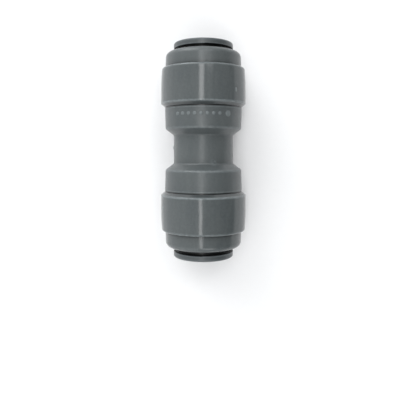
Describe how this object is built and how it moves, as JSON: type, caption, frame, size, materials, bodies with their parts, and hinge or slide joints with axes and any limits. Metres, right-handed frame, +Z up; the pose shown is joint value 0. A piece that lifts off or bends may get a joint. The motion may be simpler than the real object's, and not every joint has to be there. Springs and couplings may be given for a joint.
{
  "type": "push fit coupling",
  "caption": "Straight push-fit coupling: a waisted round body with an end cap and a sliding release collet at each end, holding seals and gripping teeth.",
  "frame": {"origin": "middle of the coupling, on the tube axis", "axes": "+Y along the tube axis towards end A, +Z up with the coupling lying on its side, +X across"},
  "size_m": [0.016, 0.0401, 0.016],
  "materials": {
    "body_plastic": "satin",
    "cap_plastic": "satin",
    "collet_plastic": "satin",
    "seal_rubber": "matte",
    "spacer_plastic": "satin",
    "washer_plastic": "satin",
    "tooth_steel": "brushed"
  },
  "bodies": {
    "housing": {"body": "body_plastic", "cap_a": "cap_plastic", "o_ring_a_inner": "seal_rubber", "spacer_a": "spacer_plastic", "o_ring_a_outer": "seal_rubber", "washer_a": "washer_plastic", "cap_b": "cap_plastic", "o_ring_b_inner": "seal_rubber", "spacer_b": "spacer_plastic", "o_ring_b_outer": "seal_rubber", "washer_b": "washer_plastic"},
    "collet_a": {"collet_a": "collet_plastic", "tooth_a_1": "tooth_steel", "tooth_a_2": "tooth_steel", "tooth_a_3": "tooth_steel", "tooth_a_4": "tooth_steel", "tooth_a_5": "tooth_steel", "tooth_a_6": "tooth_steel"},
    "collet_b": {"collet_b": "collet_plastic", "tooth_b_1": "tooth_steel", "tooth_b_2": "tooth_steel", "tooth_b_3": "tooth_steel", "tooth_b_4": "tooth_steel", "tooth_b_5": "tooth_steel", "tooth_b_6": "tooth_steel"}
  },
  "joints": [
    {"name": "collet_a_slide", "type": "slide", "parent": "housing", "child": "collet_a", "axis": [0, 1, 0], "range_m": [-0.00059, 0.00089]},
    {"name": "collet_b_slide", "type": "slide", "parent": "housing", "child": "collet_b", "axis": [0, -1, 0], "range_m": [-0.00073, 0.00075]}
  ]
}
